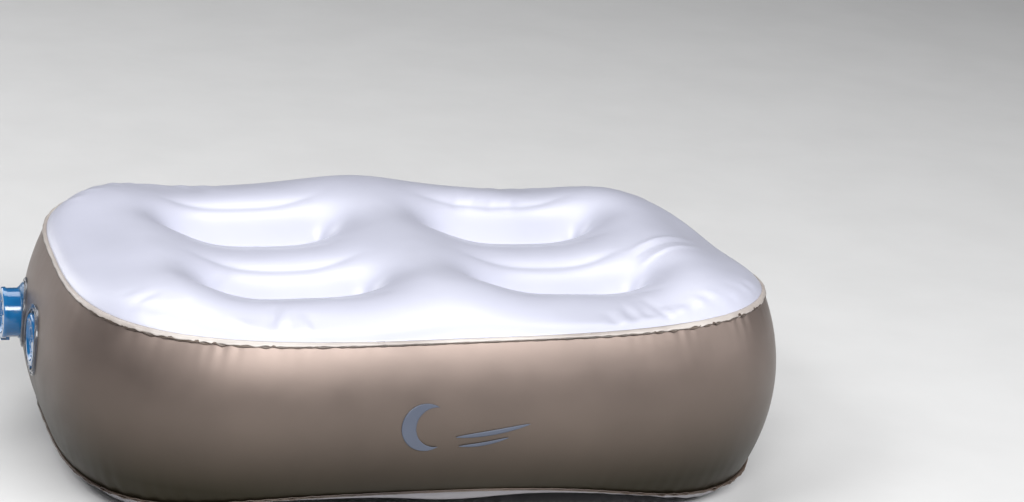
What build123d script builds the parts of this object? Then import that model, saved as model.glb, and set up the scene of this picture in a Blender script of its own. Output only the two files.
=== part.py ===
from build123d import *
from math import cos, pi, sin
import os

# Inflatable camp pillow: two dimpled film panels, a bulged side wall, four inner tie
# webs and two push-in valves on one end.
#
# Millimetres, +Z up. The origin is on the ground under the middle of the pillow, and the
# valves are at the -X end. Inside, the film is hollow, as it is on the real pillow.

# overall size
SEAM_LENGTH = 380.0  # welded seam's outline, end to end
SEAM_WIDTH = 274.0
CORNER_POWER = 3.1  # the outline is a superellipse: 2 is an ellipse, more is squarer
OUTLINE_POINTS = 32
CROWN_HEIGHT = 120.0  # ground to the highest film
BOTTOM_SEAM_Z = 13.0
TOP_SEAM_Z = 105.0
FILM = 0.5
LIP_WIDTH = 4.0  # welded edge that stands out all round each seam
WALL_SWELL = 11.0  # how far the side wall bulges past the seams
WALL_STEPS = 4  # lofted stages from the bottom seam to the top seam

# a panel's crown: distance in from the seam, and share of the panel's full rise
CROWN_PROFILE = [(0, 0.0), (5, 0.30), (13, 0.56), (26, 0.79), (42, 0.94), (60, 1.0)]

# dimples, where the tie webs hold the two panels together
DIMPLE_X = 74.0
DIMPLE_Y = 50.0
DIMPLE_RADIUS = 30.0
DIMPLE_DEPTH = 37.0
WELD_LENGTH = 76.0
DIMPLE_ZONE = (284.0, 168.0, 32.0)  # a box that holds the dimples' lower part
ZONE_RISE = 2.0  # how far that box reaches past the seam's plane, under the crown
WEB_FOOT = 16.0  # width of the foot that is welded to each panel

# valves
VALVE_Z = 62.0
VALVE_PLACES = {"rear": 42.0, "front": -3.0}  # distance along Y
VALVE_OUT = {"rear": True, "front": False}  # pulled out, or pushed in
TRAVEL = 10.5  # from pushed in to pulled out
FLANGE_OUTER_R = 19.0
FLANGE_INNER_R = 16.0
FLANGE_THICK = 0.9
STEM_R = 13.4
BORE_R = 9.0
STEM_LENGTH = 9.0
CAP_R = 14.0
CAP_THICK = 2.4
CAP_DISH = 1.2
CAP_RIM = 2.6  # width of the raised rim round the dish
DISH_SLOPE = 1.2
CAP_SEAT = 0.1  # gap between the cap's edge and the stem's end
CAP_EDGE = 0.6
PLUG_ROOT_R = 8.6
PLUG_TIP_R = 7.8
PLUG_LENGTH = 3.5
PLUG_WALL = 1.6
STRAP_THICK = 0.6
STRAP_WIDTH = 6.0
STRAP_GAP = 0.15  # between the cap's edge and the strap
STRAP_SHORT = 0.3  # the strap ends this far below the cap's face
STRAP_ROOT = 2.5  # height of the strap's root on the stem
STRAP_INNER_R = 10.0
SKIRT_THICK = 0.6
SKIRT_TOP = 0.6  # the skirt starts this far inside the wall's face
CONE_START = 0.8
CUP_RISE = 2.5  # the pushed-in skirt's bottom edge is bevelled by this rise and run
CUP_RUN = 1.1
CUP_INSET = 0.3
FLAP_R = 10.4
FLAP_THICK = 0.8
FLAP_GAP = 0.2


def outline(grow):
    """Points of the pillow's plan outline, moved outward by grow."""
    points = []
    for i in range(OUTLINE_POINTS):
        c, s = cos(2 * pi * i / OUTLINE_POINTS), sin(2 * pi * i / OUTLINE_POINTS)
        x = (SEAM_LENGTH / 2 + grow) * abs(c) ** (2 / CORNER_POWER)
        y = (SEAM_WIDTH / 2 + grow) * abs(s) ** (2 / CORNER_POWER)
        points.append((x if c > 0 else -x, y if s > 0 else -y))
    return points


def plan_section(z, grow):
    """A filled outline at height z, as one stage of a loft."""
    with BuildSketch(Plane.XY.offset(z)) as section:
        with BuildLine():
            Spline(*outline(grow), periodic=True)
        make_face()
    return section.sketch.face()


def wall_swell(share):
    """How far the wall stands out at this share of its height."""
    return WALL_SWELL * (1 - (2 * share - 1) ** 2)


def wall_block(grow):
    """The space inside the side wall as one solid, grown outward by grow."""
    stages = []
    for step in range(WALL_STEPS + 1):
        share = step / WALL_STEPS
        z = BOTTOM_SEAM_Z + share * (TOP_SEAM_Z - BOTTOM_SEAM_Z)
        stages.append(plan_section(z, grow + wall_swell(share)))
    with BuildPart() as block:
        loft(stages)
    return block.part


def lip_ring(low_z):
    """The flat welded edge, one film thick, from low_z up."""
    with BuildPart() as ring:
        with BuildSketch(Plane.XY.offset(low_z)):
            with BuildLine():
                Spline(*outline(LIP_WIDTH), periodic=True)
            make_face()
            with BuildLine():
                Spline(*outline(-FILM), periodic=True)
            make_face(mode=Mode.SUBTRACT)
        extrude(amount=FILM)
    return ring.part


def crown_block(seam_z, crown_z, inset):
    """The space under a panel with its dimples taken out, moved in from the film by inset."""
    up = 1 if crown_z > seam_z else -1
    dimple_r = DIMPLE_RADIUS + inset
    dimple_z = crown_z + up * (DIMPLE_RADIUS - DIMPLE_DEPTH)
    centres = [(x, y, dimple_z) for x in (-DIMPLE_X, DIMPLE_X) for y in (-DIMPLE_Y, DIMPLE_Y)]
    ends = [(x + end, y, z) for x, y, z in centres for end in (-WELD_LENGTH / 2, WELD_LENGTH / 2)]
    stages = []
    for distance, rise in CROWN_PROFILE:
        stages.append(plan_section(seam_z + rise * (crown_z - up * inset - seam_z), -distance - inset))
    with BuildPart() as block:
        loft(stages)
        with Locations((0, 0, seam_z + up * (ZONE_RISE - DIMPLE_ZONE[2] / 2))):
            Box(*DIMPLE_ZONE)
        with Locations(*centres):
            Cylinder(dimple_r, WELD_LENGTH, rotation=(0, 90, 0), mode=Mode.SUBTRACT)
        with Locations(*ends):
            Sphere(dimple_r, mode=Mode.SUBTRACT)
    return block.part


def panel(seam_z, crown_z, lip_low_z):
    """A crowned film panel with four dimples and a flat lip."""
    with BuildPart() as film:
        add(crown_block(seam_z, crown_z, 0))
        add(crown_block(seam_z, crown_z, FILM), mode=Mode.SUBTRACT)
        add(lip_ring(lip_low_z))
    return film.part


def save(part, name):
    """Labels a finished piece and writes its STEP."""
    part.label = name
    export_step(part, f"parts/{name}.step")


os.makedirs("parts", exist_ok=True)

# ---- film panels ----
with BuildPart() as top_panel:
    add(panel(TOP_SEAM_Z, CROWN_HEIGHT, TOP_SEAM_Z))
save(top_panel.part, "top_panel")

with BuildPart() as bottom_panel:
    add(panel(BOTTOM_SEAM_Z, 0, BOTTOM_SEAM_Z - FILM))
save(bottom_panel.part, "bottom_panel")

# ---- side wall, with a round hole for each valve ----
valve_face_x = {}
for name, y in VALVE_PLACES.items():
    reach = SEAM_LENGTH / 2 + wall_swell((VALVE_Z - BOTTOM_SEAM_Z) / (TOP_SEAM_Z - BOTTOM_SEAM_Z))
    side = SEAM_WIDTH / 2 + WALL_SWELL
    valve_face_x[name] = -reach * (1 - abs(y / side) ** CORNER_POWER) ** (1 / CORNER_POWER)

with BuildPart() as side_wall:
    add(wall_block(0))
    add(wall_block(-FILM), mode=Mode.SUBTRACT)
    add(lip_ring(BOTTOM_SEAM_Z))
    add(lip_ring(TOP_SEAM_Z - FILM))
    with Locations(*[(-SEAM_LENGTH / 2, y, VALVE_Z) for y in VALVE_PLACES.values()]):
        Cylinder(FLANGE_INNER_R, SEAM_LENGTH / 4, rotation=(0, 90, 0), mode=Mode.SUBTRACT)
save(side_wall.part, "side_wall")

# ---- tie webs: film strips between the dimples, with a curved foot on each panel ----
foot_r = DIMPLE_RADIUS + FILM
web_low_z = DIMPLE_DEPTH + FILM
web_high_z = CROWN_HEIGHT - DIMPLE_DEPTH - FILM
for side_name, x in (("left", -DIMPLE_X), ("right", DIMPLE_X)):
    for row_name, y in (("front", -DIMPLE_Y), ("back", DIMPLE_Y)):
        with BuildPart() as tie_web:
            with BuildSketch(Plane.YZ.offset(x - WELD_LENGTH / 2)):
                with Locations((y, web_high_z + foot_r), (y, web_low_z - foot_r)):
                    Circle(foot_r + FILM)
                    Circle(foot_r, mode=Mode.SUBTRACT)
                with Locations((y, (web_low_z + web_high_z) / 2)):
                    Rectangle(WEB_FOOT, web_high_z - web_low_z, mode=Mode.INTERSECT)
                    Rectangle(FILM, web_high_z - web_low_z - FILM)
            extrude(amount=WELD_LENGTH)
        save(tie_web.part, f"tie_web_{row_name}_{side_name}")

# ---- valves: u is the distance outward from the wall's face, toward -X ----
for name, y in VALVE_PLACES.items():
    face_x = valve_face_x[name]
    axis_line = Axis((face_x, y, VALVE_Z), (-1, 0, 0))
    side_on = Plane(origin=(face_x, y, VALVE_Z), x_dir=(0, 0, 1), z_dir=(0, -1, 0))
    # in this plane, local x is the radius and local y is u
    base_u = 0 if VALVE_OUT[name] else -TRAVEL
    stem_top_u = base_u + STEM_LENGTH
    cap_top_u = stem_top_u + CAP_THICK

    with BuildPart() as flange:
        add(wall_block(FLANGE_THICK))
        add(wall_block(0), mode=Mode.SUBTRACT)
        with BuildSketch(Plane(origin=(0, y, VALVE_Z), x_dir=(0, 1, 0), z_dir=(-1, 0, 0))):
            Circle(FLANGE_OUTER_R)
            Circle(FLANGE_INNER_R, mode=Mode.SUBTRACT)
        extrude(amount=SEAM_LENGTH, mode=Mode.INTERSECT)
    save(flange.part, f"{name}_valve_flange")

    # the skirt is the thin cone, or cup when pushed in, that lets the stem go in and out
    with BuildPart() as skirt:
        with BuildSketch(side_on):
            with BuildLine():
                if VALVE_OUT[name]:
                    Polyline(
                        (FLANGE_INNER_R, -SKIRT_TOP),
                        (FLANGE_INNER_R, -CONE_START - SKIRT_THICK),
                        (STEM_R, base_u),
                        (STEM_R, base_u + SKIRT_THICK),
                        close=True,
                    )
                else:
                    Polyline(
                        (FLANGE_INNER_R, -SKIRT_TOP),
                        (FLANGE_INNER_R, base_u + CUP_RISE),
                        (STEM_R + CUP_RUN, base_u),
                        (STEM_R, base_u),
                        (STEM_R, base_u + SKIRT_THICK),
                        (STEM_R + CUP_RUN - CUP_INSET, base_u + SKIRT_THICK),
                        (FLANGE_INNER_R - SKIRT_THICK, base_u + CUP_RISE + CUP_INSET),
                        (FLANGE_INNER_R - SKIRT_THICK, -SKIRT_TOP),
                        close=True,
                    )
            make_face()
        revolve(axis=axis_line)
    save(skirt.part, f"{name}_valve_skirt")

    # the stem is a short tube, and its strap reaches up past the cap's edge
    strap_in_r = CAP_R + STRAP_GAP
    strap_out_r = strap_in_r + STRAP_THICK
    with BuildPart() as stem:
        with BuildSketch(side_on):
            with BuildLine():
                Polyline(
                    (BORE_R, base_u),
                    (STEM_R, base_u),
                    (STEM_R, stem_top_u),
                    (BORE_R, stem_top_u),
                    close=True,
                )
            make_face()
        revolve(axis=axis_line)
        with BuildSketch(side_on.offset(-STRAP_WIDTH / 2)):
            with BuildLine():
                Polyline(
                    (-STRAP_INNER_R, stem_top_u - STRAP_ROOT),
                    (-strap_out_r, stem_top_u - STRAP_ROOT),
                    (-strap_out_r, cap_top_u - STRAP_SHORT),
                    (-strap_in_r, cap_top_u - STRAP_SHORT),
                    (-strap_in_r, stem_top_u - STRAP_THICK),
                    (-STRAP_INNER_R, stem_top_u - STRAP_THICK),
                    close=True,
                )
            make_face()
        extrude(amount=STRAP_WIDTH)
    save(stem.part, f"{name}_valve_stem")

    # the cap is a dished disc with a hollow tapered plug
    with BuildPart() as cap:
        with BuildSketch(side_on):
            with BuildLine():
                Polyline(
                    (0, stem_top_u),
                    (PLUG_ROOT_R - PLUG_WALL, stem_top_u),
                    (PLUG_TIP_R - PLUG_WALL, stem_top_u - PLUG_LENGTH),
                    (PLUG_TIP_R, stem_top_u - PLUG_LENGTH),
                    (PLUG_ROOT_R, stem_top_u),
                    (CAP_R, stem_top_u + CAP_SEAT),
                    (CAP_R, cap_top_u - CAP_EDGE),
                    (CAP_R - CAP_EDGE, cap_top_u),
                    (CAP_R - CAP_RIM, cap_top_u),
                    (CAP_R - CAP_RIM - DISH_SLOPE, cap_top_u - CAP_DISH),
                    (0, cap_top_u - CAP_DISH),
                    close=True,
                )
            make_face()
        revolve(axis=axis_line)
    save(cap.part, f"{name}_valve_cap")

    # the check flap hangs inside the stem's inner end
    with BuildPart() as flap:
        with BuildSketch(Plane(origin=(face_x - base_u + FLAP_GAP, y, VALVE_Z), z_dir=(1, 0, 0))):
            Circle(FLAP_R)
        extrude(amount=FLAP_THICK)
    save(flap.part, f"{name}_valve_flap")

    print(name, "valve face at x", round(face_x, 3), "cap hinge at x", round(face_x - cap_top_u, 3))
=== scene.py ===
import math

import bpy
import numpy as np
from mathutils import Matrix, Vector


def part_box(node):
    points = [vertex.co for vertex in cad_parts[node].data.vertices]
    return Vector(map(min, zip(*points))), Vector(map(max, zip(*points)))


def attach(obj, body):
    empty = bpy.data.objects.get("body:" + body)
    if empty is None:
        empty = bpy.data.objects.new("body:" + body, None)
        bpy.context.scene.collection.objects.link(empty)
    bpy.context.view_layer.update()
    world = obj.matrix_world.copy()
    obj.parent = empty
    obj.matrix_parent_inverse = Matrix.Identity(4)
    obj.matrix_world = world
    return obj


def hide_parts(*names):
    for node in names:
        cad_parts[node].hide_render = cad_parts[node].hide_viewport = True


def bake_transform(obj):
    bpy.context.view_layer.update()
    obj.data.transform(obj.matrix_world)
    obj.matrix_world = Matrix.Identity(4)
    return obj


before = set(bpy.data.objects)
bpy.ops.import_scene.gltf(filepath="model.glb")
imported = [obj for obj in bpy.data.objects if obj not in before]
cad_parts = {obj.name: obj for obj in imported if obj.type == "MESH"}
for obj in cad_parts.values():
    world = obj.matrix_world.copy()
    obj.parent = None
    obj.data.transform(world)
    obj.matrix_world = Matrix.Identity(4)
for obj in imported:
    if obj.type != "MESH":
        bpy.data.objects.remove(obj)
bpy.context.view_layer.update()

# Looks for the inflatable camp pillow: inflated films, welded lips, print and push-in valves.
# Everything is in metres in the CAD frame: +X along the pillow, away from the valves, +Z up.
# The film shapes are solved here: each panel is a film under air pressure, held at its seam
# and pulled in along four weld lines, where the tie webs are.

# ---- sizes from the frame ----
WALL_LOW, WALL_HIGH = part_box("side_wall")
LIP_LOW, LIP_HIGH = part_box("top_panel")
CAD_LIP = 0.004
SEAM_A = LIP_HIGH.x - CAD_LIP  # half length of the seam's outline
SEAM_B = LIP_HIGH.y - CAD_LIP
SEAM_LOW = WALL_LOW.z
SEAM_HIGH = WALL_HIGH.z
SWELL = WALL_HIGH.x - SEAM_A  # how far the wall bulges
POWER = 3.1  # the outline is a superellipse
WEB_LOW, WEB_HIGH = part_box("tie_web_back_right")
WELD_X = (WEB_LOW.x + WEB_HIGH.x) / 2
WELD_Y = (WEB_LOW.y + WEB_HIGH.y) / 2
WELD_HALF = (WEB_HIGH.x - WEB_LOW.x) / 2
WELD_DROP = 0.022  # the weld lines lie this far inside the seam's plane
FILM = 0.0006
FLOOR_GAP = 0.0005

# ---- sizes of the soft detail ----
SOLVE_X, SOLVE_Y = 190, 140  # cells of the grid that the film is solved on
FINE_X, FINE_Y = 300, 220  # cells of the finished film
FOLD_OUT = 0.030  # a soft fold runs this far beside each weld line
FOLD_LOAD = 150.0
LIP_WIDTH = 0.0013
LIP_DROOP = 0.0009
LIP_FRILL = 0.8  # the lip is this share wider at the corners
WALL_PUCKER = 0.0003  # height of the wall's puckers beside its seams
EAR_DROP = 0.004  # the bottom seam is lower at its corners
MIDDLE_RISE = 0.0105  # and higher along the middle of its long sides
RISE_PLACE, RISE_HALF = -0.015, 0.125  # the middle of that rise and its half length
RISE_FROM = 0.060  # the bottom panel starts to follow it this far from the middle line
# the top seam is not quite level: along the front it rises toward +X, along the back it falls
FRONT_TILT = 0.0040
BACK_LIFT = 0.0019
BACK_TILT = -0.0037
BACK_SAG = -0.0049  # behind each pair of dimples
END_SAG = -0.0064  # at the middle of the end away from the valves

# ---- sizes of the valves ----
TRAVEL = 0.0105  # how far a stem slides
FLANGE_IN, FLANGE_OUT = 0.0160, 0.0190
FLANGE_THICK = 0.0009
STEM_R = 0.0134
SKIRT = 0.0005

# the crown's height above the seam's plane, in millimetres: x, y, height
CROWN = [
    (0, 0, 12), (0, 50, 12), (0, 100, 12.5), (0, 127, 7),
    (35, 0, 7), (35, 100, 9), (74, 0, 1.5), (74, 112, 5), (74, 128, 2),
    (110, 0, 6), (110, 100, 8), (130, 0, 11), (135, 50, 11), (127, 100, 11), (127, 121, 8.5),
    (150, 85, 11), (165, 0, 10), (165, 50, 10), (180, 0, 6), (177, 50, 6),
]


# ---- helpers ----
def bump(value, width):
    """A smooth hump of height 1 and the given half width."""
    return np.exp(-((value / width) ** 2))


def new_object(name, verts, faces):
    mesh = bpy.data.meshes.new(name)
    mesh.from_pydata([tuple(v) for v in verts], [], [tuple(f) for f in faces])
    mesh.validate()
    mesh.update()
    mesh.polygons.foreach_set("use_smooth", [True] * len(mesh.polygons))
    obj = bpy.data.objects.new(name, mesh)
    bpy.context.scene.collection.objects.link(obj)
    return obj


def grid_faces(rows, columns, closed=False, ring=False):
    """Quads of a grid of points. closed joins the last column to the first, ring the rows too."""
    i = np.arange(rows * columns).reshape(rows, columns)
    if closed or ring:
        i = np.concatenate([i, i[:, :1]], 1)
    if ring:
        i = np.concatenate([i, i[:1]], 0)
    return np.stack([i[:-1, :-1].ravel(), i[1:, :-1].ravel(), i[1:, 1:].ravel(), i[:-1, 1:].ravel()], 1)


def apply_modifiers(obj):
    """Bakes an object's modifiers into its mesh."""
    deps = bpy.context.evaluated_depsgraph_get()
    mesh = bpy.data.meshes.new_from_object(obj.evaluated_get(deps))
    obj.modifiers.clear()
    obj.data = mesh


def thicken(obj, thickness, offset=-1.0):
    """Turns an open film into a closed one of real thickness."""
    shell = obj.modifiers.new("film", "SOLIDIFY")
    shell.thickness = thickness
    shell.offset = offset
    shell.use_even_offset = False
    apply_modifiers(obj)


def outline(angle, grow=0.0):
    """A point of the seam's superellipse, moved outward by grow. angle is an array."""
    c, s = np.cos(angle), np.sin(angle)
    x = (SEAM_A + grow) * np.sign(c) * np.abs(c) ** (2 / POWER)
    y = (SEAM_B + grow) * np.sign(s) * np.abs(s) ** (2 / POWER)
    return x, y


def even_angles(count):
    """Parameters of the outline that are evenly spaced along its length."""
    fine = np.linspace(0, 2 * math.pi, 7201)
    x, y = outline(fine)
    length = np.concatenate([[0], np.cumsum(np.hypot(np.diff(x), np.diff(y)))])
    return np.interp(np.arange(count) / count * length[-1], length, fine)


def corner(x, y):
    """1 at the outline's four corners, fading to 0 at the middle of its sides."""
    return np.clip(np.abs(x * y) / (0.64 * SEAM_A * SEAM_B), 0, 1) ** 2


def swell(share):
    """How far the wall stands out at this share of its height."""
    return SWELL * (1 - (2 * share - 1) ** 2)


def seam_lift(x, y, top):
    """How far the seam leaves its plane at this place."""
    if not top:
        near = np.clip((np.abs(y) - RISE_FROM) / (SEAM_B - RISE_FROM), 0, 1)
        rise = MIDDLE_RISE * np.exp(-(((x - RISE_PLACE) / RISE_HALF) ** 4))
        return rise * near * (2 - near) - EAR_DROP * corner(x, y)
    behind = 0.5 + 0.5 * y / SEAM_B
    front = FRONT_TILT * x / SEAM_A
    rear = BACK_LIFT + BACK_TILT * x / SEAM_A + BACK_SAG * bump(np.abs(x) - WELD_X, 0.045)
    end = END_SAG * bump(x - SEAM_A, 0.04) * bump(y - 0.02, 0.06)
    return front * (1 - behind) + rear * behind + end


def waves(count, cycles, seed):
    """An uneven wave of about height 1 round a closed line of count points."""
    turn = np.arange(count) / count * 2 * math.pi
    rng = np.random.default_rng(seed)
    total = np.zeros(count)
    for cycle in cycles:
        phase = rng.uniform(0, 2 * math.pi)
        total += np.sin(cycle * turn + phase) * (0.6 + 0.4 * np.sin(5 * turn + cycle))
    return total / len(cycles) ** 0.5


# ---- film under pressure ----
def film_grid(cells_x, cells_y):
    """A square grid stretched to fill the seam's outline."""
    s, t = np.meshgrid(np.linspace(-1, 1, cells_x + 1), np.linspace(-1, 1, cells_y + 1), indexing="ij")
    x = SEAM_A * s * (1 - np.abs(t) ** POWER / 2) ** (1 / POWER)
    y = SEAM_B * t * (1 - np.abs(s) ** POWER / 2) ** (1 / POWER)
    return x, y


def edge_share(x, y):
    """0 at the middle of the outline, 1 on it."""
    return ((np.abs(x) / SEAM_A) ** POWER + (np.abs(y) / SEAM_B) ** POWER) ** (1 / POWER)


def cross(p, q):
    return np.abs(p[0] * q[1] - p[1] * q[0])


def pull(p, q, r):
    """How strongly the side pq of triangle pqr pulls its ends level."""
    return ((p - r) * (q - r)).sum(0) / (2 * cross(p - r, q - r))


class Film:
    """A tight film over the grid. solve() finds its heights under several loads at once."""

    def __init__(self):
        self.x, self.y = film_grid(SOLVE_X, SOLVE_Y)
        place = np.stack([self.x, self.y])
        a, b, c, d = place[:, :-1, :-1], place[:, 1:, :-1], place[:, 1:, 1:], place[:, :-1, 1:]
        self.along = np.zeros((SOLVE_X, SOLVE_Y + 1))
        self.along[:, :-1] += pull(a, b, c)
        self.along[:, 1:] += pull(c, d, a)
        self.across = np.zeros((SOLVE_X + 1, SOLVE_Y))
        self.across[1:] += pull(b, c, a)
        self.across[:-1] += pull(d, a, c)
        self.slanted = pull(c, a, b) + pull(a, c, d)
        low, high = cross(b - a, c - a) / 6, cross(c - a, d - a) / 6
        self.area = np.zeros_like(self.x)
        self.area[:-1, :-1] += low + high
        self.area[1:, 1:] += low + high
        self.area[1:, :-1] += low
        self.area[:-1, 1:] += high
        self.inside = np.zeros_like(self.x)
        self.inside[1:-1, 1:-1] = 1

    def forces(self, z):
        f = np.zeros_like(z)
        step = (z[:, :-1] - z[:, 1:]) * self.along
        f[:, :-1] += step
        f[:, 1:] -= step
        step = (z[:, :, :-1] - z[:, :, 1:]) * self.across
        f[:, :, :-1] += step
        f[:, :, 1:] -= step
        step = (z[:, :-1, :-1] - z[:, 1:, 1:]) * self.slanted
        f[:, :-1, :-1] += step
        f[:, 1:, 1:] -= step
        return f

    def solve(self, loads, grip, grip_z, rounds=650):
        """Conjugate gradients. loads and grip_z have one layer per load; grip is the welds' hold."""
        scale = grip.copy()
        scale[:-1] += self.along
        scale[1:] += self.along
        scale[:, :-1] += self.across
        scale[:, 1:] += self.across
        scale[:-1, :-1] += self.slanted
        scale[1:, 1:] += self.slanted
        z = np.zeros_like(loads)
        r = (loads * self.area + grip * grip_z) * self.inside
        q = r / scale
        p = q.copy()
        size = (r * q).sum((1, 2), keepdims=True)
        for _ in range(rounds):
            ap = (self.forces(p) + grip * p) * self.inside
            step = size / ((p * ap).sum((1, 2), keepdims=True) + 1e-30)
            z += step * p
            r -= step * ap
            q = r / scale
            new = (r * q).sum((1, 2), keepdims=True)
            p = q + new / (size + 1e-30) * p
            size = new
        return z


def crown_heights():
    """Height of the inflated panel above its seam's plane.

    The film is solved once for the welds and folds and once for each hump of pressure, and the
    humps' strengths are then chosen so that the crown has the heights in CROWN.
    """
    film = Film()
    x, y = film.x, film.y
    ax, ay = np.abs(x), np.abs(y)
    edge = edge_share(x, y)
    columns = bump(ax - WELD_X, 0.050)
    humps = np.stack([
        np.ones_like(x),
        columns,
        bump(x, 0.035),
        bump(ax - 0.145, 0.030),
        bump(edge - 1, 0.12),
        bump(edge - 1, 0.05),
        columns * bump(edge - 1, 0.12),
        columns * bump(y, 0.03),
        columns * bump(ay - 0.105, 0.03),
    ])
    past_end = np.maximum(np.abs(ax - WELD_X) - WELD_HALF, 0)
    grip = 2e6 * bump(np.hypot(past_end, ay - WELD_Y), 0.0015) * film.area
    u = (ax - WELD_X) / 0.046
    arc = FOLD_OUT + 0.006 * u**2
    fold = bump(np.abs(ay - WELD_Y) - arc, 0.0016) * np.clip(1 - u**4, 0, 1)
    loads = np.concatenate([-FOLD_LOAD * fold[None], humps])
    grip_z = np.zeros_like(loads)
    grip_z[0] = -WELD_DROP
    layers = film.solve(loads, grip, grip_z)
    rows, goals = [], []
    for px, py, height in CROWN:
        nearest = np.unravel_index(np.argmin((x - px / 1000) ** 2 + (y - py / 1000) ** 2), x.shape)
        rows.append([layer[nearest] for layer in layers[1:]])
        goals.append(height / 1000 - layers[0][nearest])
    rows, goals = np.array(rows), np.array(goals)
    strengths = np.linalg.solve(rows.T @ rows + 1e-10 * np.eye(len(humps)), rows.T @ goals)
    return layers[0] + np.tensordot(strengths, layers[1:], 1)


def between(count, fine):
    """Weights of a smooth cubic that reads a row of count values at fine even places."""
    place = np.linspace(0, count - 1, fine)
    start = np.minimum(place.astype(int), count - 2)
    t = place - start
    parts = [(-t + 2 * t**2 - t**3) / 2, (2 - 5 * t**2 + 3 * t**3) / 2,
             (t + 4 * t**2 - 3 * t**3) / 2, (t**3 - t**2) / 2]
    weights = np.zeros((fine, count))
    for k, part in enumerate(parts):
        np.add.at(weights, (np.arange(fine), np.clip(start - 1 + k, 0, count - 1)), part)
    return weights


heights = crown_heights()
fine_heights = between(SOLVE_X + 1, FINE_X + 1) @ heights @ between(SOLVE_Y + 1, FINE_Y + 1).T


# ---- creases ----
def crease(x, y, start, end, width, height):
    """A soft ridge from start to end, in metres; a negative height is a valley."""
    (sx, sy), (ex, ey) = start, end
    length = math.hypot(ex - sx, ey - sy)
    t = np.clip(((x - sx) * (ex - sx) + (y - sy) * (ey - sy)) / length**2, 0, 1)
    off = ((x - sx) * (ey - sy) - (y - sy) * (ex - sx)) / length
    return height * np.sin(math.pi * t**0.7) * bump(off, width)


def gathers(x, y, middle, spread, count, toward, length, height, seed):
    """Creases side by side: each starts at the outline near middle and runs toward a point."""
    rng = np.random.default_rng(seed)
    total = np.zeros_like(x)
    for k in range(count):
        place = middle + spread * ((k + rng.uniform(0.2, 0.8)) / count - 0.5)
        sx, sy = (float(v) for v in outline(np.array(place), -0.001))
        reach = length * rng.uniform(0.5, 1.6) / math.hypot(toward[0] - sx, toward[1] - sy)
        end = (sx + (toward[0] - sx) * reach, sy + (toward[1] - sy) * reach)
        sign = 1 if k % 2 else -1
        width = rng.uniform(0.0024, 0.0044)
        total += crease(x, y, (sx, sy), end, width, sign * height * rng.uniform(0.4, 1.2))
    return total


def top_creases(x, y):
    """The small puckers of the top film."""
    total = np.zeros_like(x)
    # at the front seam, beside both front dimples
    total += gathers(x, y, math.radians(251), 0.13, 6, (-0.085, -0.06), 0.030, 0.0006, 1)
    total += gathers(x, y, math.radians(291), 0.26, 8, (0.095, -0.05), 0.028, 0.0005, 2)
    # behind the back-right dimple
    for k, px in enumerate((0.054, 0.064, 0.075, 0.087)):
        height = 0.0004 if k % 2 else -0.0004
        total += crease(x, y, (px - 0.006, 0.074), (px + 0.006, 0.104), 0.0030, height)
    # streaks that run from the front-right dimple to the right end
    for k, py in enumerate((-0.022, -0.030, -0.039)):
        height = -0.0004 if k % 2 else 0.0005
        total += crease(x, y, (0.120, py), (0.168, py + 0.018), 0.0026, height)
    # a short ridge where the fold ends at the left of the front-left dimple
    total += crease(x, y, (-0.128, -0.052), (-0.100, -0.024), 0.0020, 0.0007)
    return total + common_creases(x, y, 11)


def common_creases(x, y, seed):
    """Fans of puckers at the four corners and behind the dimples, on either panel."""
    total = np.zeros_like(x)
    for k, (sx, sy) in enumerate([(1, 1), (-1, 1), (-1, -1), (1, -1)]):
        middle = math.atan2(sy, sx)
        total += gathers(x, y, middle, 0.75, 12, (sx * 0.12, sy * 0.075), 0.014, 0.0004, seed + k)
        behind = sy * math.radians(90 - sx * 20)
        total += gathers(x, y, behind, 0.20, 5, (sx * 0.074, sy * 0.06), 0.020, 0.0004, seed + 10 + k)
    return total


# ---- film pieces ----
def make_panel(name, cad_name, top):
    """The top or the bottom film: the solved shape with its creases and its uneven seam."""
    x, y = film_grid(FINE_X, FINE_Y)
    inner = np.clip((1 - edge_share(x, y)) * 18, 0, 1)
    creases = top_creases(x, y) if top else common_creases(x, y, 31)
    lift = seam_lift(x, y, top) * edge_share(x, y) ** (6 if top else 1)
    if top:
        z = SEAM_HIGH + fine_heights + creases * inner + lift
    else:
        z = np.maximum(SEAM_LOW - fine_heights - creases * inner + lift, FLOOR_GAP)
    faces = grid_faces(FINE_X + 1, FINE_Y + 1)
    if not top:
        faces = faces[:, ::-1]
    obj = new_object(name, np.stack([x, y, z], -1).reshape(-1, 3), faces)
    thicken(obj, FILM)
    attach(obj, "pillow")
    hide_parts(cad_name)
    return obj


AROUND = even_angles(960)
WALL_ROWS = 56


def wall_stage(share):
    """One closed line of the wall at this share of its height."""
    n = len(AROUND)
    x, y = outline(AROUND, swell(share))
    at_corner = 0.06 + 0.94 * corner(*outline(AROUND))
    height = SEAM_HIGH - SEAM_LOW
    near_top = math.exp(-(1 - share) * height / 0.006)
    near_bottom = math.exp(-share * height / 0.009)
    fade = min(1.0, share * (1 - share) * 60)
    pucker = waves(n, (97, 131, 163), 3) * near_top + waves(n, (83, 109, 139), 4) * near_bottom
    push = WALL_PUCKER * at_corner * pucker * fade
    fx, fy = outline(AROUND, swell(share) + 0.001)
    away = np.hypot(fx - x, fy - y) + 1e-9
    x, y = x + (fx - x) / away * push, y + (fy - y) / away * push
    z = SEAM_LOW + share * height
    z = z + share**3 * seam_lift(x, y, True) + (1 - share) ** 3 * seam_lift(x, y, False)
    return np.stack([x, y, z], 1)


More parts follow.
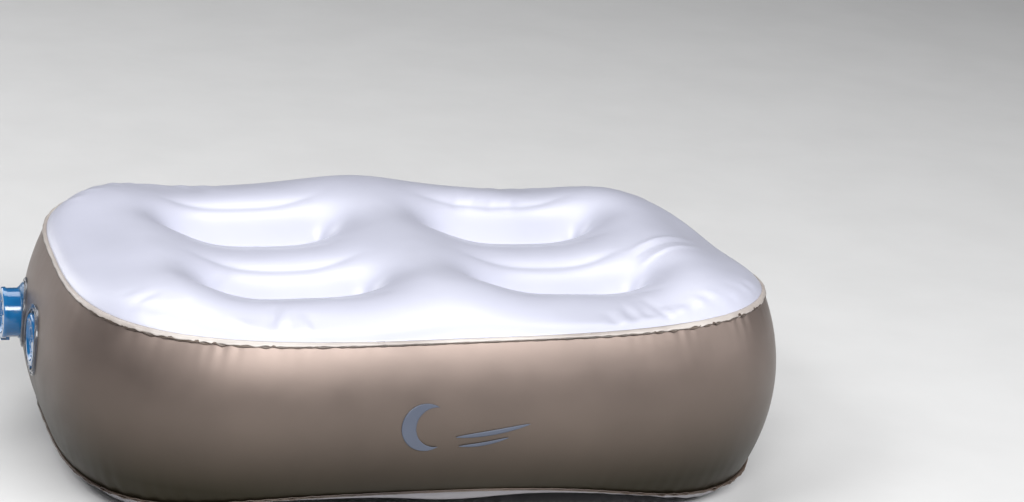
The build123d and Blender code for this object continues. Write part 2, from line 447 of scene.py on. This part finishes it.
def make_wall():
    """The bulged wall film, with a hole for each valve."""
    shares = 0.5 - 0.5 * np.cos(math.pi * np.arange(WALL_ROWS + 1) / WALL_ROWS)
    verts = np.concatenate([wall_stage(share) for share in shares])
    faces = grid_faces(WALL_ROWS + 1, len(AROUND), closed=True)[:, ::-1]
    obj = new_object("side_wall_film", verts, faces)
    thicken(obj, FILM)
    for valve in VALVES:
        bpy.ops.mesh.primitive_cylinder_add(
            vertices=96, radius=FLANGE_IN + 0.0001, depth=0.08,
            location=(valve.face, valve.y, valve.z), rotation=(0, math.pi / 2, 0))
        cutter = bpy.context.object
        cut = obj.modifiers.new("hole", "BOOLEAN")
        cut.object = cutter
        cut.operation = "DIFFERENCE"
        cut.solver = "EXACT"
        apply_modifiers(obj)
        bpy.data.objects.remove(cutter)
    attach(obj, "pillow")
    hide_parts("side_wall")
    return obj


def make_lip(name, top, layer, droop, ripple, seed):
    """One layer of the welded lip that stands out all round a seam, with a rippled edge."""
    n = len(AROUND)
    side = 1 if top else -1
    at_corner = corner(*outline(AROUND))
    wave = waves(n, (79, 113, 151, 211), seed)
    tip = LIP_WIDTH * (1 + LIP_FRILL * at_corner) * (1 + 0.15 * waves(n, (61, 89), seed + 1))
    drop = droop * (1 + at_corner) + ripple * (0.15 + 0.85 * at_corner) * wave
    section = [(-0.35, -0.5), (0.5, -0.5), (0.97, -0.4), (1.0, 0.0), (0.97, 0.4), (0.5, 0.5),
               (-0.35, 0.5)]
    seam_x, seam_y = outline(AROUND)
    base = (SEAM_HIGH if top else SEAM_LOW) + seam_lift(seam_x, seam_y, top) + layer
    gx, gy = outline(AROUND, 0.001)
    away = np.hypot(gx - seam_x, gy - seam_y)
    rows = []
    for share, rise in section:
        x = seam_x + (gx - seam_x) / away * tip * share
        y = seam_y + (gy - seam_y) / away * tip * share
        rows.append(np.stack([x, y, base + rise * FILM - side * drop * max(share, 0) ** 2], 1))
    obj = new_object(name, np.concatenate(rows), grid_faces(len(section), n, ring=True))
    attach(obj, "pillow")
    return obj


def make_web(side, row, sx, sy):
    """The film strip inside that ties a top weld line to the bottom one."""
    cells = 24
    s, t = np.meshgrid(np.linspace(-1, 1, cells + 1), np.linspace(0, 1, cells + 1), indexing="ij")
    waist = 1 - 0.10 * (1 - (2 * t - 1) ** 2)
    x = sx * WELD_X + s * WELD_HALF * waist
    y = sy * WELD_Y + 0.0012 * np.sin(3 * math.pi * s) * (1 - (2 * t - 1) ** 2)
    low, high = SEAM_LOW + WELD_DROP, SEAM_HIGH - WELD_DROP
    z = low + FILM + t * (high - low - 2 * FILM)
    verts = np.stack([x, y, z], -1).reshape(-1, 3)
    obj = new_object(f"web_film_{row}_{side}", verts, grid_faces(cells + 1, cells + 1))
    thicken(obj, FILM, 0.0)
    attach(obj, "pillow")
    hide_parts(f"tie_web_{row}_{side}")
    return obj


# ---- print on the wall ----
def wall_front(x, z):
    """The wall's front surface at this x and height."""
    grow = swell((z - SEAM_LOW) / (SEAM_HIGH - SEAM_LOW))
    return -(SEAM_B + grow) * (1 - (np.abs(x) / (SEAM_A + grow)) ** POWER) ** (1 / POWER)


def make_print(name, x, z):
    """A very thin printed patch on the wall's front, from a grid of x and z."""
    y = wall_front(x, z) - 0.00035
    obj = new_object(name, np.stack([x, y, z], -1).reshape(-1, 3), grid_faces(*x.shape))
    thicken(obj, 0.0002, 0.0)
    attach(obj, "pillow")
    return obj


def crescent(centre_x, centre_z, radius, bite, shift):
    """A moon: the part of a circle outside a smaller circle that is shifted toward +X."""
    meet = (radius**2 - bite**2 + shift**2) / (2 * shift)
    outer_end = math.acos(meet / radius)
    inner_end = math.acos((meet - shift) / bite)
    t = np.linspace(-1, 1, 49)
    outer = math.pi + t * (math.pi - outer_end)
    inner = math.pi + t * (math.pi - inner_end)
    s = np.linspace(0, 1, 9)[:, None]
    x = (1 - s) * radius * np.cos(outer) + s * (shift + bite * np.cos(inner))
    z = (1 - s) * radius * np.sin(outer) + s * bite * np.sin(inner)
    return centre_x + x, centre_z + z


def stroke(start, end, width, bend):
    """A thin line with tapered ends, a little bent."""
    t = np.linspace(0, 1, 41)
    s = np.linspace(-0.5, 0.5, 5)[:, None]
    arch = np.sin(math.pi * t)
    x = start[0] + t * (end[0] - start[0]) + 0 * s
    z = start[1] + t * (end[1] - start[1]) + bend * arch + s * width * arch**0.6
    return x, z


# ---- valves ----
class Valve:
    """Where a valve is, read from its CAD nodes. u is the distance outward, toward -X."""

    def __init__(self, name):
        self.name = name
        stem_low, stem_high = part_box(f"{name}_valve_stem")
        cap_low, cap_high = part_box(f"{name}_valve_cap")
        self.y = (cap_low.y + cap_high.y) / 2
        self.z = (cap_low.z + cap_high.z) / 2
        self.cap_top = cap_low.x
        self.stem_base = stem_high.x
        self.out = name == "rear"
        self.face = self.stem_base if self.out else self.stem_base - TRAVEL

    def lathe(self, name, profile, origin_x, around=128):
        """A closed surface of revolution. profile is a closed list of (radius, u) in metres."""
        turn = np.arange(around) / around * 2 * math.pi
        rows = []
        for radius, u in profile:
            x = np.full(around, origin_x - u)
            rows.append(np.stack([x, self.y + radius * np.cos(turn), self.z + radius * np.sin(turn)], 1))
        return new_object(name, np.concatenate(rows), grid_faces(len(profile), around, ring=True))


VALVES = [Valve("rear"), Valve("front")]


def round_section(radius, u, size, points=12):
    """A small round section of the given size, for a bead."""
    turn = np.arange(points) / points * 2 * math.pi
    return [(radius + size * math.cos(a), u + size * math.sin(a)) for a in turn]


def wall_end(y, z):
    """The wall's surface at the valves' end."""
    grow = swell((z - SEAM_LOW) / (SEAM_HIGH - SEAM_LOW))
    return -(SEAM_A + grow) * (1 - (np.abs(y) / (SEAM_B + grow)) ** POWER) ** (1 / POWER)


def make_flange_bead(valve, name, radius, size):
    """A moulded bead on the flange that follows the wall's curve."""
    obj = valve.lathe(f"{valve.name}_{name}", round_section(radius, 0, size), 0)
    for vert in obj.data.vertices:
        vert.co.x += wall_end(vert.co.y, vert.co.z) - FLANGE_THICK
    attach(obj, "pillow")
    return obj


def make_skirt(valve):
    """The thin rolling skirt between the flange and the stem."""
    t = np.linspace(0, 1, 26)
    if valve.out:
        radius = FLANGE_IN + 0.0001 + (STEM_R - FLANGE_IN) * (t * t * (3 - 2 * t))
        u = -0.0010 + 0.0032 * t
    else:
        turn = np.clip((t - 0.72) / 0.28, 0, 1) * math.pi / 2
        round_r = FLANGE_IN - STEM_R - 0.0002
        straight = np.clip(t / 0.72, 0, 1)
        radius = FLANGE_IN - 0.0003 - round_r * (1 - np.cos(turn))
        u = -0.0010 + (-TRAVEL + round_r + 0.0010) * straight - round_r * np.sin(turn)
    profile = [(r + SKIRT / 2, v) for r, v in zip(radius, u)]
    profile += [(r - SKIRT / 2, v) for r, v in zip(radius[::-1], u[::-1])]
    obj = valve.lathe(f"{valve.name}_skirt_film", profile, valve.face)
    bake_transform(obj)
    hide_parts(f"{valve.name}_valve_skirt")
    return obj


def make_cap_beads(valve):
    """A raised ring and a small pip in the cap's dish."""
    section = round_section(0.0068, -0.0012, 0.00045)
    ring = valve.lathe(f"{valve.name}_cap_ring", section, valve.cap_top)
    section = [(0.0, -0.0013), (0.0016, -0.0013), (0.0015, -0.0009), (0.0010, -0.0006), (0.0, -0.0005)]
    pip = valve.lathe(f"{valve.name}_cap_pip", section, valve.cap_top)
    for obj in (ring, pip):
        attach(obj, f"{valve.name}_cap")
    return [ring, pip]


# ---- materials ----
def paint(obj, mat):
    obj.data.materials.clear()
    obj.data.materials.append(mat)


class Surface:
    """A procedural material: colour, roughness and bump from noise in the object's own space."""

    def __init__(self, name, **inputs):
        self.mat = bpy.data.materials.new(name)
        self.mat.use_nodes = True
        self.nodes = self.mat.node_tree.nodes
        self.shader = self.nodes["Principled BSDF"]
        self.place = self.nodes.new("ShaderNodeTexCoord")
        self.normal = None
        for key, value in inputs.items():
            self.shader.inputs[key.replace("_", " ")].default_value = value

    def link(self, a, b):
        self.mat.node_tree.links.new(a, b)

    def noise(self, scale, detail, stretch=(1, 1, 1)):
        squeeze = self.nodes.new("ShaderNodeMapping")
        squeeze.inputs["Scale"].default_value = stretch
        node = self.nodes.new("ShaderNodeTexNoise")
        node.inputs["Scale"].default_value = scale
        node.inputs["Detail"].default_value = detail
        self.link(self.place.outputs["Object"], squeeze.inputs["Vector"])
        self.link(squeeze.outputs["Vector"], node.inputs["Vector"])
        return node.outputs["Fac"]

    def colours(self, source, stops):
        ramp = self.nodes.new("ShaderNodeValToRGB")
        while len(ramp.color_ramp.elements) < len(stops):
            ramp.color_ramp.elements.new(0.5)
        for element, (position, colour) in zip(ramp.color_ramp.elements, stops):
            element.position = position
            element.color = (*colour, 1)
        self.link(source, ramp.inputs["Fac"])
        self.colour = ramp.outputs["Color"]
        self.link(self.colour, self.shader.inputs["Base Color"])

    def paint_shade_down(self, shade_tint):
        """Painted shade: deepens the colour by the tint from the top seam down to the bottom seam, where
        the wall falls in shade.
        """
        split = self.nodes.new("ShaderNodeSeparateXYZ")
        height = self.nodes.new("ShaderNodeMapRange")
        height.inputs["From Min"].default_value = SEAM_HIGH - 0.015
        height.inputs["From Max"].default_value = SEAM_LOW + 0.010
        mix = self.nodes.new("ShaderNodeMix")
        mix.data_type = "RGBA"
        mix.blend_type = "MULTIPLY"
        mix.inputs["B"].default_value = (*shade_tint, 1)
        self.link(self.place.outputs["Object"], split.inputs["Vector"])
        self.link(split.outputs["Z"], height.inputs["Value"])
        self.link(height.outputs["Result"], mix.inputs["Factor"])
        self.link(self.colour, mix.inputs["A"])
        self.link(mix.outputs["Result"], self.shader.inputs["Base Color"])

    def roughness(self, source, low, high):
        spread = self.nodes.new("ShaderNodeMapRange")
        spread.inputs["From Min"].default_value = 0.3
        spread.inputs["From Max"].default_value = 0.7
        spread.inputs["To Min"].default_value = low
        spread.inputs["To Max"].default_value = high
        self.link(source, spread.inputs["Value"])
        self.link(spread.outputs["Result"], self.shader.inputs["Roughness"])

    def bump(self, source, distance, strength):
        node = self.nodes.new("ShaderNodeBump")
        node.inputs["Distance"].default_value = distance
        node.inputs["Strength"].default_value = strength
        self.link(source, node.inputs["Height"])
        if self.normal:
            self.link(self.normal, node.inputs["Normal"])
        self.normal = node.outputs["Normal"]
        self.link(self.normal, self.shader.inputs["Normal"])


def film_surface(name, dark, light, rough, grain=0.00002, ripple=0.00008, fade=None, **inputs):
    """Plastic film: slightly uneven colour, fine grain, faint ripples and a satin gloss; a fade paints
    shade into the colour, darker toward the bottom.
    """
    surface = Surface(name, **inputs)
    surface.colours(surface.noise(14, 4), [(0.35, dark), (0.65, light)])
    # fade is painted shade: the colour darkens toward the bottom seam
    if fade:
        surface.paint_shade_down(fade)
    surface.roughness(surface.noise(60, 5), *rough)
    surface.bump(surface.noise(45, 1), ripple, 0.5)
    surface.bump(surface.noise(1500, 2), grain, 0.6)
    return surface.mat


def moulded_surface(name, dark, light, rough, **inputs):
    """Moulded soft plastic: cloudy colour, fine flow marks and tiny scuffs."""
    surface = Surface(name, **inputs)
    surface.colours(surface.noise(120, 3, (1, 1, 0.4)), [(0.3, dark), (0.7, light)])
    surface.roughness(surface.noise(400, 4), *rough)
    surface.bump(surface.noise(260, 3), 0.00006, 0.5)
    surface.bump(surface.noise(2200, 2), 0.00001, 0.5)
    return surface.mat


TOP = film_surface("top_film", (0.48, 0.49, 0.585), (0.53, 0.54, 0.645), (0.38, 0.46),
                   Coat_Weight=1.0, Coat_Roughness=0.36, IOR=1.5)
# painted shade: the bottom film is the same pale film as the top, coloured darker for the shade it lies
# in
BOTTOM_SHADED = film_surface("bottom_film", (0.26, 0.25, 0.27), (0.32, 0.305, 0.33), (0.34, 0.44),
                      Coat_Weight=0.4, Coat_Roughness=0.3, IOR=1.5)
# the wall's fade tint is painted shade: the colour darkens toward the bottom seam, where the wall is in
# shade; the film itself is one even brown
WALL = film_surface("wall_film", (0.210, 0.166, 0.146), (0.246, 0.194, 0.170), (0.40, 0.46),
                    fade=(0.13, 0.135, 0.085), Metallic=0.80, Coat_Weight=0.15, Coat_Roughness=0.42,
                    Coat_IOR=1.4, IOR=1.4)
LIP_PALE = film_surface("lip_pale", (0.30, 0.26, 0.24), (0.52, 0.48, 0.45), (0.25, 0.40),
                        grain=0.00006)
LIP_BROWN = film_surface("lip_brown", (0.045, 0.032, 0.026), (0.11, 0.08, 0.062), (0.28, 0.42),
                         grain=0.00006)
WEB = film_surface("web_film", (0.45, 0.45, 0.50), (0.55, 0.55, 0.60), (0.25, 0.35),
                   Transmission_Weight=0.4)
PRINT = film_surface("print", (0.060, 0.072, 0.105), (0.085, 0.100, 0.138), (0.40, 0.55),
                     grain=0.00005)
BLUE = moulded_surface("valve_blue", (0.008, 0.14, 0.38), (0.015, 0.19, 0.47), (0.10, 0.20),
                       Transmission_Weight=0.25, Coat_Weight=1.0, Coat_Roughness=0.06, IOR=1.45)
SKIRT_BLUE = moulded_surface("skirt_blue", (0.03, 0.15, 0.34), (0.05, 0.20, 0.42), (0.18, 0.30),
                             Transmission_Weight=0.45, IOR=1.45)
CLEAR = moulded_surface("flange_clear", (0.12, 0.13, 0.16), (0.18, 0.19, 0.23), (0.12, 0.24),
                        Transmission_Weight=0.5, Coat_Weight=0.6, IOR=1.45)
FLOOR = film_surface("floor_pale", (0.59, 0.59, 0.59), (0.61, 0.61, 0.61), (0.6, 0.7),
                     ripple=0.0)

# ---- the object ----
paint(make_panel("top_film", "top_panel", True), TOP)
paint(make_panel("bottom_film", "bottom_panel", False), BOTTOM_SHADED)
paint(make_wall(), WALL)
# each lip: is it on the top seam, its layer's height, droop, ripple, seed, material and slot
for name, top, layer, droop, ripple, seed, mat, slot_name in (
    ("top_lip", True, 0.0003, LIP_DROOP, 0.0006, 21, LIP_PALE, "top_film"),
    ("top_lip_under", True, -0.0005, LIP_DROOP, 0.0009, 22, LIP_BROWN, "wall_film"),
    ("bottom_lip", False, -0.0003, 0.0003, 0.0005, 23, LIP_BROWN, "bottom_film"),
    ("bottom_lip_over", False, 0.0004, 0.0003, 0.0006, 24, LIP_BROWN, "wall_film"),
):
    lip = make_lip(name, top, layer, droop, ripple, seed)
    paint(lip, mat)
for side, sx in (("left", -1), ("right", 1)):
    for row, sy in (("front", -1), ("back", 1)):
        paint(make_web(side, row, sx, sy), WEB)

for name, shape in (
    ("print_moon", crescent(-0.024, 0.0625, 0.0125, 0.0105, 0.0055)),
    ("print_line_upper", stroke((-0.008, 0.0570), (0.031, 0.0630), 0.0026, -0.001)),
    ("print_line_lower", stroke((-0.006, 0.0520), (0.020, 0.0560), 0.0018, -0.001)),
):
    paint(make_print(name, *shape), PRINT)

for valve in VALVES:
    paint(make_skirt(valve), SKIRT_BLUE)
    for bead in make_cap_beads(valve):
        paint(bead, BLUE)
    paint(make_flange_bead(valve, "flange_inner_bead", FLANGE_IN + 0.0006, 0.0005), CLEAR)
    paint(make_flange_bead(valve, "flange_outer_bead", FLANGE_OUT - 0.0004, 0.0003), CLEAR)
    for part, mat in (("stem", BLUE), ("cap", BLUE), ("flange", CLEAR), ("flap", SKIRT_BLUE)):
        paint(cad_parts[f"{valve.name}_valve_{part}"], mat)

# ---- floor, camera and light ----
bpy.ops.mesh.primitive_plane_add(size=6, location=(0, 0, 0))
floor = bpy.context.object
floor.name = "floor"
paint(floor, FLOOR)

AZIMUTH = math.radians(-17.94)
ELEVATION = math.radians(17.07)
ROLL = math.radians(4.84)
DISTANCE = 1.700
LENS = 108.95
LOOK_AT = Vector((0.0613, 0.0, 0.0944 + SEAM_LOW))
back = Vector((
    math.sin(AZIMUTH) * math.cos(ELEVATION),
    -math.cos(AZIMUTH) * math.cos(ELEVATION),
    math.sin(ELEVATION),
))
right = (-back).cross(Vector((0, 0, 1))).normalized()
over = right.cross(-back)
tilted_right = math.cos(ROLL) * right + math.sin(ROLL) * over
tilted_up = -math.sin(ROLL) * right + math.cos(ROLL) * over
camera_data = bpy.data.cameras.new("camera")
camera_data.sensor_width = 36
camera_data.lens = LENS
camera = bpy.data.objects.new("camera", camera_data)
bpy.context.scene.collection.objects.link(camera)
camera.matrix_world = Matrix.Translation(LOOK_AT + back * DISTANCE) @ Matrix(
    (tilted_right, tilted_up, back)).transposed().to_4x4()
bpy.context.scene.camera = camera


def softbox(name, place, size, power):
    """A white rectangular light that faces the pillow."""
    light = bpy.data.lights.new(name, "AREA")
    light.shape = "RECTANGLE"
    light.size, light.size_y = size
    light.energy = power
    obj = bpy.data.objects.new(name, light)
    bpy.context.scene.collection.objects.link(obj)
    obj.location = place
    obj.rotation_euler = (LIT_POINT - Vector(place)).to_track_quat("-Z", "Y").to_euler()


LIT_POINT = Vector((0, 0, 0.08))
softbox("key", (0.22, -1.28, 1.05), (2.2, 0.45), 39)
softbox("left", (-1.25, -0.50, 1.40), (0.7, 0.5), 14)
softbox("behind", (-0.15, 0.60, 1.45), (1.6, 0.8), 14)
softbox("low_left", (-1.05, 1.30, 0.55), (0.9, 0.6), 4.5)
softbox("low_right", (1.50, -0.35, 0.50), (0.7, 0.6), 3)
world = bpy.data.worlds.new("studio")
bpy.context.scene.world = world
world.use_nodes = True
world.node_tree.nodes["Background"].inputs[0].default_value = (0.92, 0.94, 1, 1)
world.node_tree.nodes["Background"].inputs[1].default_value = 0.08
bpy.context.scene.view_settings.view_transform = "Standard"
